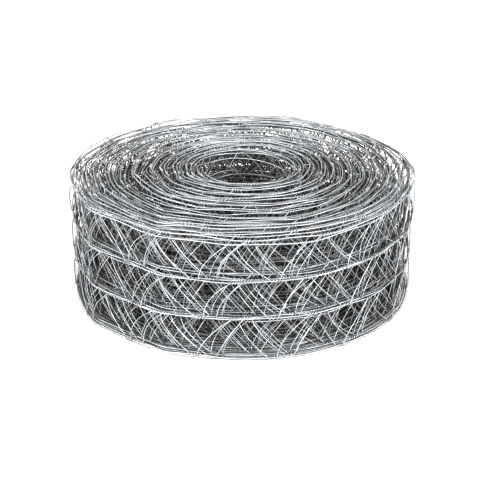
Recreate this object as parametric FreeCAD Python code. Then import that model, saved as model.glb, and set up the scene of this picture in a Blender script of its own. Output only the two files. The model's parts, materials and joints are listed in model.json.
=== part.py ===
"""Roll of brickwork reinforcement mesh: a strip of woven galvanised wire, wound flat on itself and stood on one end.

The strip has straight main wires, with a thinner binding wire zigzagging between each neighbouring pair and knotted round
them. The roll is one turned solid: a wall of wound turns round an open bore. Its ends show one land for each turn, with a
groove between neighbouring turns, and its outside has a rib at the height of each main wire, with the rows of binding wire
set back between the ribs. Millimetres, +Z up, origin at the centre of the lower end.
"""

import math
import os

import FreeCAD
import Part

# The strip, as it is woven.
mesh_width = 115.0
mesh_length = 33000.0
main_wire_diameter = 1.3
binding_wire_diameter = 0.95
main_wire_count = 4

# The roll, as it is wound.
outer_diameter = 326.0
bore_diameter = 88.0
groove_depth = 2.4

# A land is bevelled at both edges, as its wire is round. A rib is rounded.
land_bevel = 0.35
rib_edge_radius = 0.6

outer_radius = outer_diameter / 2
bore_radius = bore_diameter / 2

# A knot is the binding wire wrapped round the main wire. Seen on end, a turn is its outermost main wire.
knot_diameter = main_wire_diameter + 2 * binding_wire_diameter
turn_thickness = main_wire_diameter
row_set_back = (knot_diameter - binding_wire_diameter) / 2

# The strip's length and the roll's ring area give the pitch of the turns, rounded to whole turns.
ring_area = math.pi * (outer_radius**2 - bore_radius**2)
turn_count = round((outer_radius - bore_radius) / (ring_area / mesh_length))
turn_pitch = (outer_radius - bore_radius) / turn_count
groove_width = turn_pitch - turn_thickness

# Heights of the main wires: the outer two are half a knot in from the ends.
main_wire_spacing = (mesh_width - knot_diameter) / (main_wire_count - 1)
main_wire_heights = [knot_diameter / 2 + i * main_wire_spacing for i in range(main_wire_count)]


def point(radius, height):
    """A point of the turned section, in the plane Y = 0."""
    return FreeCAD.Vector(radius, 0, height)


def rounded_outline(corners):
    """A closed wire through (radius, height, rounding) corners. Each corner with a rounding becomes a tangent arc."""
    edges = []
    stretches = []
    count = len(corners)
    for i, (radius, height, rounding) in enumerate(corners):
        here = point(radius, height)
        to_last = point(*corners[i - 1][:2]) - here
        to_next = point(*corners[(i + 1) % count][:2]) - here
        if rounding == 0:
            stretches.append((here, here))
            continue
        to_last.normalize()
        to_next.normalize()
        half_angle = to_last.getAngle(to_next) / 2
        reach = rounding / math.tan(half_angle)
        begin = here + to_last * reach
        end = here + to_next * reach
        bisector = to_last + to_next
        bisector.normalize()
        middle = here + bisector * (rounding / math.sin(half_angle) - rounding)
        edges.append((i, Part.Arc(begin, middle, end).toShape()))
        stretches.append((begin, end))
    for i in range(count):
        begin = stretches[i][1]
        end = stretches[(i + 1) % count][0]
        edges.append((i + 0.5, Part.LineSegment(begin, end).toShape()))
    return Part.Wire([edge for _, edge in sorted(edges, key=lambda pair: pair[0])])


def end_corners(height, inward):
    """Corners along one end, from the bore to the outside. inward is +1 where the solid is above the end, -1 below."""
    floor = height + inward * groove_depth
    bevel_height = height + inward * land_bevel
    corners = []
    for turn in range(turn_count):
        land_inside = bore_radius + turn * turn_pitch
        land_outside = land_inside + turn_thickness
        if turn == turn_count - 1:
            land_outside = outer_radius
        if turn > 0:
            corners.append((land_inside, bevel_height, 0))
            corners.append((land_inside + land_bevel, height, 0))
        else:
            corners.append((land_inside, height, 0))
        corners.append((land_outside - land_bevel, height, 0))
        corners.append((land_outside, bevel_height, 0))
        if turn < turn_count - 1:
            corners.append((land_outside, floor, 0))
            corners.append((land_outside + groove_width, floor, 0))
    return corners


def wall_corners():
    """Corners of the set-back rows on the outside, from the lower end up."""
    corners = []
    for low, high in zip(main_wire_heights, main_wire_heights[1:]):
        row_bottom = low + knot_diameter / 2
        row_top = high - knot_diameter / 2
        set_back = outer_radius - row_set_back
        corners.append((outer_radius, row_bottom, rib_edge_radius))
        corners.append((set_back, row_bottom + row_set_back, 0))
        corners.append((set_back, row_top - row_set_back, 0))
        corners.append((outer_radius, row_top, rib_edge_radius))
    return corners


def mesh_roll():
    """The wound roll, turned about Z from its section."""
    corners = end_corners(0, 1) + wall_corners() + end_corners(mesh_width, -1)[::-1]
    section = Part.Face(rounded_outline(corners))
    return section.revolve(FreeCAD.Vector(0, 0, 0), FreeCAD.Vector(0, 0, 1), 360)


os.makedirs("parts", exist_ok=True)
roll = mesh_roll()
roll.exportStep("parts/mesh_roll.step")
print(f"turns {turn_count}, pitch {turn_pitch:.3f}, groove {groove_width:.3f}")
print(f"solids {len(roll.Solids)}, valid {roll.isValid()}, volume {roll.Volume:.0f}, faces {len(roll.Faces)}")
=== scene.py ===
# %% [markdown]
# # A roll of brickwork reinforcement mesh
#
# Bricklayers bed this mesh in the mortar of a wall. It is a long narrow strip of galvanised wire: a few
# straight main wires side by side, and between each two of them a thinner binding wire that zigzags and
# is wrapped round each main wire that it meets. The strip is wound flat on itself and sold as a roll,
# which stands here on one end.
#
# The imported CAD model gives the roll's true size as one turned solid. This script keeps that size and
# builds what the eye sees in its place: all the wires, wound turn by turn. Numpy works out each shape in
# millimetres, as whole arrays.

# %% Load the frame
import json
import math

import bpy
import numpy as np
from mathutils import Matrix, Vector


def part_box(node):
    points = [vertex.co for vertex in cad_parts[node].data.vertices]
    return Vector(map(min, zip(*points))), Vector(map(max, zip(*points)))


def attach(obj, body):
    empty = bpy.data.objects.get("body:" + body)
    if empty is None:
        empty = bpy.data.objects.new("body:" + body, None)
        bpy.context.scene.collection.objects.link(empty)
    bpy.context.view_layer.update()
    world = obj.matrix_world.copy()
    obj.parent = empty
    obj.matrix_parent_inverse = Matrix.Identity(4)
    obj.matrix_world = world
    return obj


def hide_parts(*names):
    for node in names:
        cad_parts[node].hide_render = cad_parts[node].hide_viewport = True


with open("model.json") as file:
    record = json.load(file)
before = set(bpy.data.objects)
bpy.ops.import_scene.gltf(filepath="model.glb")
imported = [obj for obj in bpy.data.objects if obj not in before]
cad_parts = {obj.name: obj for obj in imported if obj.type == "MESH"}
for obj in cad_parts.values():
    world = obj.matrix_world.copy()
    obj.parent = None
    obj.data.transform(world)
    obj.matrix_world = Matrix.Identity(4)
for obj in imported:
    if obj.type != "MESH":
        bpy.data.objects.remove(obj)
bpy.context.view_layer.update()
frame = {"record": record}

# %% [markdown]
# ## Sizes
#
# The roll's outer radius, its bore and the width of the strip come from the frame, so the looks always
# fit the CAD model. The wire sizes and the length of strip are those that the model was worked out from:
# main wires that carry the load in the wall, and a binding wire about three quarters as thick, which only
# holds them apart.

# %% Sizes in millimetres
METRES_PER_MM = 0.001
roll_low, roll_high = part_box("mesh_roll")
bore_mount = next(m for m in frame["record"]["mounts"] if m["name"] == "bore")

outer_radius = roll_high.x / METRES_PER_MM
bore_radius = bore_mount["dims"]["r_mm"]
mesh_width = (roll_high.z - roll_low.z) / METRES_PER_MM
mesh_length = 33000.0

main_wire = 1.3
binding_wire = 0.95
main_wire_count = 4
knot_diameter = main_wire + 2 * binding_wire
wrap_radius = (main_wire + binding_wire) / 2
main_heights = np.linspace(knot_diameter / 2, mesh_width - knot_diameter / 2, main_wire_count)
print(f"outer radius {outer_radius:.1f} mm, bore radius {bore_radius:.1f} mm")
print("main wires at", main_heights.round(1), "mm")

# %% [markdown]
# ## Chance, with a seed
#
# No two turns of a real roll lie alike. The differences are random but smooth, because a wire is stiff:
# its place at one point says much about its place a little further on. Blurring a row of random numbers
# gives just that. A seed makes the numbers the same on each run.


# %% Smooth random numbers
rng = np.random.default_rng(7)


def smooth_noise(count, step, reach):
    """Random numbers in a row, `step` apart, that change smoothly over the distance `reach`.

    Each is a sum of independent random numbers, weighted by exp(-(distance / reach)^2 / 2), divided by
    the root of the sum of the squared weights, so that the spread stays 1.
    """
    half = int(math.ceil(3 * reach / step))
    weights = np.exp(-0.5 * (np.arange(-half, half + 1) * step / reach) ** 2)
    raw = rng.standard_normal(count + 2 * half)
    return np.convolve(raw, weights, mode="valid") / np.sqrt((weights**2).sum())


def window(value, begin, end, soft):
    """1 where value is between begin and end, 0 outside, with an S-curve of length `soft` at each side."""
    rise = np.clip((value - begin) / soft + 0.5, 0, 1)
    fall = np.clip((end - value) / soft + 0.5, 0, 1)
    return (rise * rise * (3 - 2 * rise)) * (fall * fall * (3 - 2 * fall))


print("a few smooth numbers:", smooth_noise(5, 1.0, 2.0).round(2))

# %% [markdown]
# ## The spiral
#
# The strip's middle line is a spiral seen from above. It could be one formula, radius = start + pitch x
# angle, but that looks like a machined groove. A hand would say: each turn lies on the last one, and the
# gap between them is tight where the wires nest and wide where a knot or a kink holds them off. So the
# spiral is built that way. For each direction round the roll, the gaps between turns are random with a
# floor, they add up outwards from the bore, and they are scaled so that the last turn reaches the
# outside.
#
# A gap is tightest + (mean - tightest) x ease x e^(spread x noise - spread^2 / 2), where the last term
# keeps the mean. The ease is least by the bore and in the outer third, where the turns were pulled tight.
# The spread is least at the back, where the gaps are most even.

# %% The gaps between the turns
STEPS_PER_TURN = 360
ring_area = math.pi * (outer_radius**2 - bore_radius**2)
turn_count = round((outer_radius - bore_radius) / (ring_area / mesh_length))
mean_gap = (outer_radius - bore_radius) / turn_count
tightest_gap = 1.4
gap_spread = 0.55
gap_reach = 0.55
middle_ease = 1.2
pulled_at_bore = 0.75
pulled_at_edge = 0.8
calm_at_back = 0.6
front = math.radians(270)

azimuth_step = 2 * math.pi / STEPS_PER_TURN
angle = np.arange(turn_count * STEPS_PER_TURN) * azimuth_step
first_azimuth = math.radians(100)
azimuth = (first_azimuth + angle).reshape(turn_count, STEPS_PER_TURN)
turns_from_bore = angle / (2 * math.pi)
turns_from_edge = turn_count - turns_from_bore

# Both windows are in turns: the first covers the turns by the bore, and the second the outer third.
near_bore = window(turns_from_bore, -1, 3.5, 3)
near_edge = window(turns_from_edge, 0.3, 17, 8)
ease = middle_ease - pulled_at_bore * near_bore - pulled_at_edge * near_edge
at_back = np.clip(0.3 + np.sin(first_azimuth + angle), 0, 1)
spread = gap_spread * (1 - calm_at_back * at_back)
noise = smooth_noise(angle.size, azimuth_step, gap_reach)
loose = ease * np.exp(spread * noise - spread**2 / 2)
gaps = tightest_gap + (mean_gap - tightest_gap) * loose.reshape(azimuth.shape)
print(f"{turn_count} turns, {mean_gap:.2f} mm apart on average")
print(f"gaps {gaps.min():.1f} to {gaps.max():.1f} mm before scaling")

# %% [markdown]
# The innermost turn was wound on a former with one flat side, a little off the axis, so the bore is flat
# at the front. The outside is a circle. The distance of a flat side from the axis is flat / cos(angle
# from its middle), and a high power mean of the two distances takes the nearer one, with a rounded corner
# between them.
#
# In each direction the gaps are scaled to fill the wall from the bore to the outside. The scale is eased
# over the turn, so that the end of each turn meets the start of the next.

# %% The bore and the outside
BORE_FLAT = 0.86
BORE_ROUND = 0.98
BORE_ASIDE = 2.5
BORE_BACK = 1.5
SHAPE_POWER = 14
LEAST_COSINE = 0.3


def nearer(first, second):
    """The smaller of two distances, rounded where they cross: (first^-p + second^-p)^(-1/p)."""
    return (first**-SHAPE_POWER + second**-SHAPE_POWER) ** (-1 / SHAPE_POWER)


def bore_shape(azimuth):
    """Distance of the innermost turn from the axis: a circle set aside, with a flat side at the front.

    A circle set aside by (x, y) is about radius + x cos(azimuth) + y sin(azimuth) away from the axis. The
    flat side is flat / cos(angle from the front), with a least cosine, so that it has no say at the back.
    """
    from_front = np.angle(np.exp(1j * (azimuth - front)))
    flat_side = BORE_FLAT * bore_radius / np.maximum(np.cos(from_front), LEAST_COSINE)
    round_side = BORE_ROUND * bore_radius + BORE_BACK * np.sin(azimuth)
    return nearer(round_side, flat_side) + BORE_ASIDE * np.cos(azimuth)


turn_part = turns_from_bore[:STEPS_PER_TURN]
inner = bore_shape(azimuth[0]) + turn_part * gaps[0, 0]
edge = outer_radius - main_wire / 2
outer = edge - (1 - turn_part) * gaps[-1, 0]
scale = (outer - inner) / gaps[:-1].sum(axis=0)
scale *= (scale[0] / scale[-1]) ** turn_part
gaps *= scale
radius = inner + np.concatenate([np.zeros((1, STEPS_PER_TURN)), np.cumsum(gaps[:-1], axis=0)])
print(f"scaled gaps {gaps.min():.1f} to {gaps.max():.1f} mm")
print(f"last turn at {radius[-1].min():.1f} to {radius[-1].max():.1f} mm")

# %% [markdown]
# ## Kinks
#
# The strip doesn't bend evenly. It creases at a few places in each turn, and each new turn creases where
# it passes over the crease below, a little further round. So the turns are many-sided, with corners that
# line up in slow curves from the bore to the outside, and they are low near the bore. In the distance
# from the axis, a corner is a peak between two hollow flanks: height x (1 - |angle from the corner| /
# width)^2. All the turns are then drawn in a little, so that the highest corners stay within the roll's
# outside.

# %% The corners
corner_places = np.radians([213, 244, 272, 299, 328, 2, 33, 66, 98, 128, 157, 186])
corner_heights = np.array([3.6, 4.6, 0.4, 3.4, 1.8, 1.3, 1.4, 1.8, 1.2, 1.6, 1.4, 2.0])
corner_width = math.radians(19)
corner_drift = math.radians(0.34)

# How the corners change from the outside inwards. Reaches are in millimetres.
wander_angle = math.radians(7)
wander_reach = 30
strength_reach = 13
least_calm = 0.2
calm_reach = 45
phase_range = 6.3
drawn_in = 1.2

flat_radius = radius.ravel()
flat_azimuth = azimuth.ravel()
inward = edge - flat_radius
bore_calm = np.clip(least_calm + (1 - least_calm) * (flat_radius - bore_radius) / calm_reach, least_calm, 1)
for place, height in zip(corner_places, corner_heights):
    wander_size = wander_angle * math.sin(rng.uniform(0, phase_range))
    wander = wander_size * np.sin(inward / wander_reach + rng.uniform(0, phase_range))
    from_corner = np.abs(np.angle(np.exp(1j * (flat_azimuth - place + corner_drift * inward - wander))))
    strength = height * (0.7 + 0.5 * np.sin(inward / strength_reach + rng.uniform(0, phase_range)))
    flat_radius = flat_radius + bore_calm * strength * np.maximum(1 - from_corner / corner_width, 0) ** 2
flat_radius -= drawn_in
print(f"with corners, the turns run from {flat_radius.min():.1f} to {flat_radius.max():.1f} mm")

# %% [markdown]
# ## Length along the strip
#
# The mesh pattern repeats along the strip, not round the roll, so everything from here on is a function
# of the length along it: the root of (radius x turn of angle)^2 + (change of radius)^2, added up from the
# inner end.

# %% The strip's length
ends = np.sqrt((flat_radius[:-1] * azimuth_step) ** 2 + np.diff(flat_radius) ** 2)
length_at_angle = np.concatenate([[0], np.cumsum(ends)])
strip_length = length_at_angle[-1]
LENGTH_STEP = 1.0
length = np.arange(0, strip_length, LENGTH_STEP)
strip_angle = np.interp(length, length_at_angle, angle)
strip_azimuth = first_azimuth + strip_angle
strip_radius = np.interp(length, length_at_angle, flat_radius)
turn_number = strip_angle / (2 * math.pi)
from_front = np.angle(np.exp(1j * (strip_azimuth - front)))
print(f"the strip is {strip_length / 1000:.2f} m long")

# %% [markdown]
# ## Where each main wire runs
#
# Each main wire follows the strip and has small faults of its own. It leans a little in and out and up
# and down, and the pattern's knots pull it up and down once in each repeat. The turns also stand at
# slightly different heights, and the top wire of the innermost turns has sunk into the bore at the far
# side. The outermost turns droop at the front: their two upper wires hang lower, by e^(-turns from the
# edge / 1.3) of the full droop.

# %% The pattern's repeat
period = 66.0
rise_share = 30.0 / period
pattern_start = 5.0
phase = (length - pattern_start) / period
print(f"the pattern repeats every {period:.0f} mm, {strip_length / period:.0f} times")

# %% Small faults and the knots' pull
LIFT = [(1.2, 130)]
LEANS = [(0.3, 14), (0.55, 50)]
WAVES = [(0.5, 13), (1.5, 48)]
KNOT_PULL = 0.45


def faults(sizes):
    """Faults along the strip: the sum of size x smooth noise, for pairs of a size and its reach in mm."""
    return sum(size * smooth_noise(length.size, LENGTH_STEP, reach) for size, reach in sizes)


turn_lift = faults(LIFT)
pull = KNOT_PULL * np.cos(2 * math.pi * phase)
main_radius = np.empty((main_wire_count, length.size))
main_height = np.empty((main_wire_count, length.size))
for k in range(main_wire_count):
    lean = faults(LEANS)
    wave = faults(WAVES)
    main_radius[k] = strip_radius + lean
    main_height[k] = main_heights[k] + turn_lift + wave + pull
print(f"turns lifted by {turn_lift.min():.1f} to {turn_lift.max():.1f} mm")

# %% The drooping edge and the sunken inner turns
TOP_DROOP = 9.0
SECOND_DROOP = 3.5
DROOP_OUT = 0.8
DROOP_TURNS = 1.3
INNER_SINK = 17
INNER_PULL = 3
FLOOR_PRESS = 0.6
TOP_SLACK = 1.5

droop = np.exp(-(turn_count - turn_number) / DROOP_TURNS) * window(from_front, -0.5, 0.8, 0.8)
main_height[-1] -= TOP_DROOP * droop
main_height[-2] -= SECOND_DROOP * droop
main_radius[-1] += DROOP_OUT * droop
first_turns = window(turn_number, -1, 1.9, 1.4)
far_side = window(-np.abs(from_front), -4, -1.9, 0.9)
main_height[-1] -= INNER_SINK * first_turns * far_side
main_radius[-1] -= INNER_PULL * first_turns

# The knots of the lowest wire rest on the floor, so its waves are folded up from there and flattened. The
# top wire never stands far above the width of the strip.
lowest = binding_wire + main_wire / 2
main_height[0] = lowest + np.abs(main_height[0] - lowest) * FLOOR_PRESS
main_height = np.minimum(main_height, mesh_width + TOP_SLACK)
print("main wire heights:", main_height.min(axis=1).round(1), "to", main_height.max(axis=1).round(1))

# %% [markdown]
# ## A tube along a path
#
# A wire is a small circle carried along a line. At each point of the line the circle needs two directions
# across it. The first is a given side direction with its part along the line taken out, and the second is
# square to both. All the circles are worked out at once, and neighbouring ones are joined by four-sided
# faces. Curves with a bevel would do this too, but they give less say in how many faces each wire has,
# and there are hundreds of thousands here.

# %% A wire as a mesh


def unit(vectors):
    """Vectors divided by their lengths."""
    return vectors / np.linalg.norm(vectors, axis=-1, keepdims=True)


def tube(name, path, side, wire, sides, material):
    """Adds a closed tube round a path of points, in millimetres.

    Point m of ring i = path_i + wire / 2 * (cos(2 pi m / sides) * across_i + sin(2 pi m / sides) * up_i),
    where across_i is the side direction square to the path and up_i = along_i x across_i.
    """
    along = unit(np.gradient(path, axis=0))
    across = unit(side - (side * along).sum(axis=1, keepdims=True) * along)
    up = np.cross(along, across)
    turn = 2 * math.pi * np.arange(sides) / sides
    circle = np.cos(turn)[None, :, None] * across[:, None] + np.sin(turn)[None, :, None] * up[:, None]
    points = (path[:, None] + wire / 2 * circle).reshape(-1, 3) * METRES_PER_MM

    rings = len(path)
    ring = np.arange(rings - 1)[:, None] * sides
    here = np.arange(sides)[None, :]
    after = (here + 1) % sides
    next_ring = ring + sides
    walls = np.stack([ring + here, ring + after, next_ring + after, next_ring + here], axis=-1).reshape(-1)
    caps = np.concatenate([np.arange(sides)[::-1], (rings - 1) * sides + np.arange(sides)])
    wall_count = (rings - 1) * sides
    corners = np.concatenate([walls, caps])
    starts = np.concatenate([np.arange(wall_count) * 4, wall_count * 4 + np.array([0, sides])])

    mesh = bpy.data.meshes.new(name)
    mesh.vertices.add(len(points))
    mesh.vertices.foreach_set("co", points.astype(np.float32).ravel())
    mesh.loops.add(len(corners))
    mesh.loops.foreach_set("vertex_index", corners.astype(np.int32))
    mesh.polygons.add(len(starts))
    mesh.polygons.foreach_set("loop_start", starts.astype(np.int32))
    mesh.polygons.foreach_set("use_smooth", np.ones(len(starts), bool))
    mesh.update(calc_edges=True)

    # The UV map is in metres: the distance along the wire, and the distance round its girth.
    far = np.concatenate([[0], np.cumsum(np.linalg.norm(np.diff(path, axis=0), axis=1))]) * METRES_PER_MM
    far_corners = np.stack([far[:-1], far[:-1], far[1:], far[1:]], axis=-1)
    far_wall = far_corners[:, None].repeat(sides, axis=1).reshape(-1)
    round_corners = np.stack([here, here + 1, here + 1, here], axis=-1)
    round_wall = round_corners.repeat(rings - 1, axis=0).reshape(-1) / sides
    far_cap = np.concatenate([np.full(sides, far[0]), np.full(sides, far[-1])])
    round_cap = np.tile(np.arange(sides) / sides, 2)
    girth = math.pi * wire * METRES_PER_MM
    far_all = np.concatenate([far_wall, far_cap])
    round_all = girth * np.concatenate([round_wall, round_cap])
    uv = np.stack([far_all, round_all], axis=-1)
    layer = mesh.uv_layers.new(name="along_wire")
    layer.data.foreach_set("uv", uv.astype(np.float32).ravel())

    mesh.materials.append(material)
    piece = bpy.data.objects.new(name, mesh)
    bpy.context.scene.collection.objects.link(piece)
    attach(piece, "root")
    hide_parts("mesh_roll")
    triangles = wall_count * 2 + 2 * (sides - 2)
    print(f"{name}: {far[-1]:.1f} m of wire, {triangles} triangles")


# %% [markdown]
# ## Galvanised wire
#
# The wire is drawn steel with a coat of zinc. New zinc is a bright metal, but it soon dulls to a pale
# grey oxide that scatters light more than it mirrors it. So the shader is only a quarter metal, with a
# soft gloss. Runs about a centimetre long follow the wire, where the coat flowed along it, and they
# change its tone and its gloss. A grain of half a millimetre gives the bump.

# %% Colours and nodes


def linear(code):
    """An sRGB hex colour as linear red, green, blue and 1.

    A share c becomes c / 12.92 up to 0.04045, else ((c + 0.055) / 1.055)^2.4.
    """
    shares = [int(code[i : i + 2], 16) / 255 for i in (1, 3, 5)]
    return [c / 12.92 if c <= 0.04045 else ((c + 0.055) / 1.055) ** 2.4 for c in shares] + [1.0]


def add_node(tree, kind, settings=None, inputs=None):
    """Adds a node with its own settings. Each input gets a value or a link from an output socket."""
    node = tree.nodes.new(kind)
    for key, value in (settings or {}).items():
        setattr(node, key, value)
    for key, value in (inputs or {}).items():
        if isinstance(value, bpy.types.NodeSocket):
            tree.links.new(value, node.inputs[key])
        else:
            node.inputs[key].default_value = value
    return node


def set_ramp(node, stops):
    """Gives a colour ramp its stops, a list of (place, hex colour)."""
    ramp = node.color_ramp
    while len(ramp.elements) < len(stops):
        ramp.elements.new(0.5)
    for element, (place, code) in zip(ramp.elements, stops):
        element.position = place
        element.color = linear(code)


print("the middle zinc tone in linear light:", round(linear("#979899")[0], 3))

# %% The zinc coat
# Lengths are in metres, as the shader sees them.
RUN_LENGTH = 0.011
RUN_GIRTH = 0.0016
GRAIN = 0.0005
GRAIN_HEIGHT = 0.00004
METAL_SHARE = 0.25
ROUGHNESS = 0.55
GLOSS_CHANGE = 0.07


def zinc_coat(name, dark, middle, bright):
    """Dull galvanised wire: runs of zinc in its tone and gloss, and a fine grain in its bump.

    The three colours are those of the dark runs, the coat in between and the bright runs.
    """
    material = bpy.data.materials.new(name)
    material.use_nodes = True
    tree = material.node_tree
    tree.nodes.clear()
    place = add_node(tree, "ShaderNodeUVMap", {"uv_map": "along_wire"})
    stretched = add_node(tree, "ShaderNodeMapping", {"vector_type": "POINT"},
                         {"Vector": place.outputs["UV"], "Scale": (1 / RUN_LENGTH, 1 / RUN_GIRTH, 1)})
    runs = add_node(tree, "ShaderNodeTexNoise", {"noise_dimensions": "2D"},
                    {"Vector": stretched.outputs["Vector"], "Scale": 1.0, "Detail": 3.0, "Roughness": 0.6})
    tone = add_node(tree, "ShaderNodeValToRGB", {}, {"Fac": runs.outputs["Fac"]})
    set_ramp(tone, [(0.32, dark), (0.5, middle), (0.68, bright)])
    solid_place = add_node(tree, "ShaderNodeTexCoord")
    fine = add_node(tree, "ShaderNodeTexNoise", {},
                    {"Vector": solid_place.outputs["Object"], "Scale": 1 / GRAIN,
                     "Detail": 2.0, "Roughness": 0.5})
    gloss = add_node(tree, "ShaderNodeMapRange", {},
                     {"Value": runs.outputs["Fac"], "From Min": 0.3, "From Max": 0.7,
                      "To Min": ROUGHNESS + GLOSS_CHANGE, "To Max": ROUGHNESS - GLOSS_CHANGE})
    bump = add_node(tree, "ShaderNodeBump", {},
                    {"Height": fine.outputs["Fac"], "Strength": 0.25, "Distance": GRAIN_HEIGHT})
    shader = add_node(tree, "ShaderNodeBsdfPrincipled", {},
                      {"Base Color": tone.outputs["Color"], "Metallic": METAL_SHARE,
                       "Roughness": gloss.outputs["Result"], "Normal": bump.outputs["Normal"]})
    add_node(tree, "ShaderNodeOutputMaterial", {}, {"Surface": shader.outputs["BSDF"]})
    return material


main_zinc = zinc_coat("galvanised_drawn_main_wire", "#898A8B", "#979899", "#A5A6A7")
# The binding wire's three colours are each a little lighter than the main wire's. This is painted light: a
# lighter copy of the same zinc that stands in for the brighter sheen the thin zigzag wires catch from the
# soft boxes.
binding_zinc = zinc_coat("galvanised_drawn_binding_wire", "#8C8D8E", "#9A9B9C", "#A8A9AA")
print("materials:", main_zinc.name, "and", binding_zinc.name)

# %% [markdown]
# ## The main wires
#
# Four wires run the whole length of the strip, and each is one tube.

# %% Main wires


def outward(at):
    """The level direction away from the roll's axis, at lengths along the strip."""
    turn = np.interp(at, length, strip_azimuth)
    return np.stack([np.cos(turn), np.sin(turn), np.zeros_like(turn)], axis=-1)


def on_main_wire(k, at):
    """Centre of main wire k at lengths along the strip: outward direction x radius, at the wire's height."""
    points = outward(at) * np.interp(at, length, main_radius[k])[..., None]
    points[..., 2] = np.interp(at, length, main_height[k])
    return points


MAIN_STEP = 6.0
MAIN_SIDES = 6
stations = np.arange(0, strip_length, MAIN_STEP)
for k in range(main_wire_count):
    tube(f"main_wire_{k + 1}", on_main_wire(k, stations), outward(stations), main_wire, MAIN_SIDES, main_zinc)

# %% [markdown]
# ## The binding wires
#
# Each row has one binding wire. It rises to the upper main wire, is wrapped round it two and a half
# times, comes down to the lower one, is wrapped round that, and so on. A wrap is a helix about the main
# wire. The helix angle only ever grows, by five half turns a knot, so that the wire leaves the lower main
# wire at the outside of the strip going up, and leaves the upper one at the inside going down, as a
# wrapped wire must.
#
# A stretch is steep at first and then leans over, because the wire was pulled along as it was wrapped.
# The bend is mostly stronger in the rising stretches than in the falling ones, and some falling ones are
# nearly straight.

# %% Binding wires
KNOT_POINTS = 12
SPAN_POINTS = 5
KNOT_TURN = 5 * math.pi
BINDING_SIDES = 5
KNOT_SCATTER = 2.2
KNOT_LENGTHS = (5.5, 8.5)
RISING_BENDS = (1.2, 2.4)
FALLING_BENDS = (0.9, 1.75)
MEAN_BULGE = 0.4
BULGE_SPREAD = 1.1

span_share = np.arange(1, SPAN_POINTS + 1) / (SPAN_POINTS + 1)


def binding_path(row):
    """Path and side direction of the binding wire between main wires row and row + 1.

    Knot: main wire centre + wrap radius * (cos(a) * outward + sin(a) * up), a growing by KNOT_TURN.
    Span: length = begin + (finish - begin) * share^bend, with the height in proportion to share. The
    distance from the axis is the strip's, plus what the two knots stand off from it, in proportion,
    plus bulge * sin(pi * share).
    """
    repeats = int((strip_length - pattern_start - period) / period)
    lower = pattern_start + np.arange(repeats) * period
    knots = np.stack([lower, lower + rise_share * period], axis=1).ravel()
    count = knots.size
    upper = np.arange(count) % 2 == 1
    knots = knots + rng.normal(0, KNOT_SCATTER, count)
    knot_length = rng.uniform(*KNOT_LENGTHS, count)
    begin_angle = math.pi + KNOT_TURN * np.arange(count)

    share = np.linspace(0, 1, KNOT_POINTS)[None, :]
    at = knots[:, None] + (share - 0.5) * knot_length[:, None]
    wrap = begin_angle[:, None] + KNOT_TURN * share
    centre = np.where(upper[:, None, None], on_main_wire(row + 1, at), on_main_wire(row, at))
    knot_side = np.cos(wrap)[..., None] * outward(at) + np.sin(wrap)[..., None] * np.array([0.0, 0.0, 1.0])
    knot_points = centre + wrap_radius * knot_side

    begin = knots[:-1] + knot_length[:-1] / 2
    finish = knots[1:] - knot_length[1:] / 2
    rising = ~upper[:-1]
    bend = np.where(rising, rng.uniform(*RISING_BENDS, count - 1), rng.uniform(*FALLING_BENDS, count - 1))
    bulge = rng.normal(MEAN_BULGE, BULGE_SPREAD, count - 1)
    span_at = begin[:, None] + (finish - begin)[:, None] * span_share ** bend[:, None]
    span_side = np.cos(begin_angle[1:])[:, None, None] * outward(span_at)
    ends_radius = np.stack([np.linalg.norm(knot_points[:-1, -1, :2], axis=-1),
                            np.linalg.norm(knot_points[1:, 0, :2], axis=-1)], axis=-1)
    middle_radius = np.interp(span_at, length, strip_radius)
    begin_radius = np.interp(begin, length, strip_radius)
    finish_radius = np.interp(finish, length, strip_radius)
    offset = ends_radius - np.stack([begin_radius, finish_radius], axis=-1)
    out = middle_radius + offset[:, :1] * (1 - span_share) + offset[:, 1:] * span_share
    out = out + bulge[:, None] * np.sin(math.pi * span_share)
    span_points = outward(span_at) * out[..., None]
    begin_height = knot_points[:-1, -1, 2][:, None]
    finish_height = knot_points[1:, 0, 2][:, None]
    span_points[..., 2] = begin_height * (1 - span_share) + finish_height * span_share

    path = np.concatenate([knot_points[:-1], span_points], axis=1).reshape(-1, 3)
    side = np.concatenate([knot_side[:-1], span_side], axis=1).reshape(-1, 3)
    return np.concatenate([path, knot_points[-1]]), np.concatenate([side, knot_side[-1]])


for row in range(main_wire_count - 1):
    path, side = binding_path(row)
    tube(f"binding_wire_{row + 1}", path, side, binding_wire, BINDING_SIDES, binding_zinc)

# %% [markdown]
# ## Floor, light and camera
#
# The floor is a plain pale sheet, wide enough to fill the view. The sky is a soft white, a little
# brighter overhead than at the horizon, as in a light tent. Two soft boxes stand in front, to the left
# and to the right, so that the wires of the wall and the top both have a bright side.

# %% The floor
FLOOR_HALF = 8.0
FLOOR_ROUGHNESS = 0.9
FLOOR_GLOSS = 0.2
floor_mesh = bpy.data.meshes.new("floor")
floor_mesh.from_pydata([(-FLOOR_HALF, -FLOOR_HALF, 0), (FLOOR_HALF, -FLOOR_HALF, 0),
                        (FLOOR_HALF, FLOOR_HALF, 0), (-FLOOR_HALF, FLOOR_HALF, 0)], [], [(0, 1, 2, 3)])
paper = bpy.data.materials.new("matt_white_paper")
paper.use_nodes = True
paper_inputs = paper.node_tree.nodes["Principled BSDF"].inputs
paper_inputs["Base Color"].default_value = linear("#D2D2D2")
paper_inputs["Roughness"].default_value = FLOOR_ROUGHNESS
paper_inputs["Specular IOR Level"].default_value = FLOOR_GLOSS
floor_mesh.materials.append(paper)
floor = bpy.data.objects.new("floor", floor_mesh)
bpy.context.scene.collection.objects.link(floor)
print("floor", 2 * FLOOR_HALF, "m wide")

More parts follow.
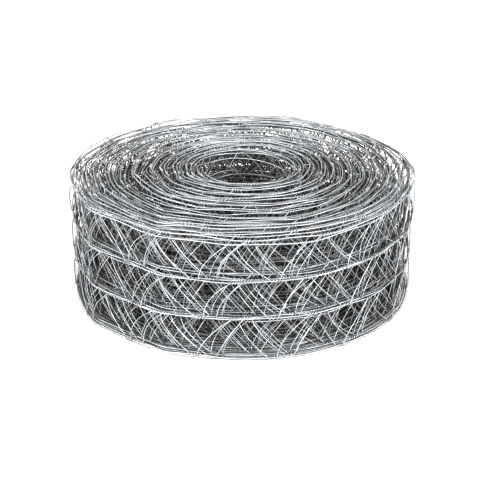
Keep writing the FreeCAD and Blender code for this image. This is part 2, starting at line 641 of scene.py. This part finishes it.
# %% The light tent
HORIZON_LIGHT = 1.2
ZENITH_LIGHT = 1.35
world = bpy.data.worlds.new("light_tent")
bpy.context.scene.world = world
world.use_nodes = True
tent = world.node_tree
tent.nodes["Background"].inputs["Color"].default_value = (1, 1, 1, 1)
direction = add_node(tent, "ShaderNodeTexCoord")
height = add_node(tent, "ShaderNodeSeparateXYZ", {}, {"Vector": direction.outputs["Generated"]})
fall_off = add_node(tent, "ShaderNodeMapRange", {"interpolation_type": "SMOOTHSTEP"},
                    {"Value": height.outputs["Z"], "From Min": 0.0, "From Max": 1.0,
                     "To Min": HORIZON_LIGHT, "To Max": ZENITH_LIGHT})
tent.links.new(fall_off.outputs["Result"], tent.nodes["Background"].inputs["Strength"])
print("sky strength from", HORIZON_LIGHT, "at the horizon to", ZENITH_LIGHT, "overhead")

# %% The soft boxes
SOFT_BOX_ANGLE = math.radians(40)
SOFT_BOXES = [("left", (-1.0, -0.85, 0.45), 6.0), ("right", (1.0, -0.85, 0.45), 6.3)]


def aim(thing, place, target):
    """Puts a lamp or camera at a place, with its -Z axis towards the target and its Y axis nearly up."""
    thing.location = place
    thing.rotation_euler = (Vector(target) - Vector(place)).to_track_quat("-Z", "Y").to_euler()


for side, place, energy in SOFT_BOXES:
    soft_box = bpy.data.lights.new(f"soft_box_{side}", "SUN")
    soft_box.angle = SOFT_BOX_ANGLE
    soft_box.energy = energy
    lamp = bpy.data.objects.new(f"soft_box_{side}", soft_box)
    bpy.context.scene.collection.objects.link(lamp)
    aim(lamp, place, (0, 0, 0))

# %% [markdown]
# The camera looks down on the roll at about 24 degrees, from six outer radii away, with a short telephoto
# lens. The view's gamma spreads the dark tones between the wires.

# %% The camera
ELEVATION = math.radians(24.4)
VIEW_GAMMA = 0.48
camera_distance = 6 * outer_radius
aim_height = 0.242 * outer_radius
aim_side = -1.8
lens_and_film = bpy.data.cameras.new("camera")
lens_and_film.lens = 75.4
lens_and_film.sensor_width = 36.0
camera = bpy.data.objects.new("camera", lens_and_film)
bpy.context.scene.collection.objects.link(camera)
target = np.array([aim_side, 0, aim_height])
back = np.array([0, -math.cos(ELEVATION), math.sin(ELEVATION)])
aim(camera, tuple((target + camera_distance * back) * METRES_PER_MM), tuple(target * METRES_PER_MM))
bpy.context.scene.camera = camera
view = bpy.context.scene.view_settings
view.view_transform = "Standard"
view.gamma = VIEW_GAMMA
print("camera at", [round(v, 3) for v in camera.location])
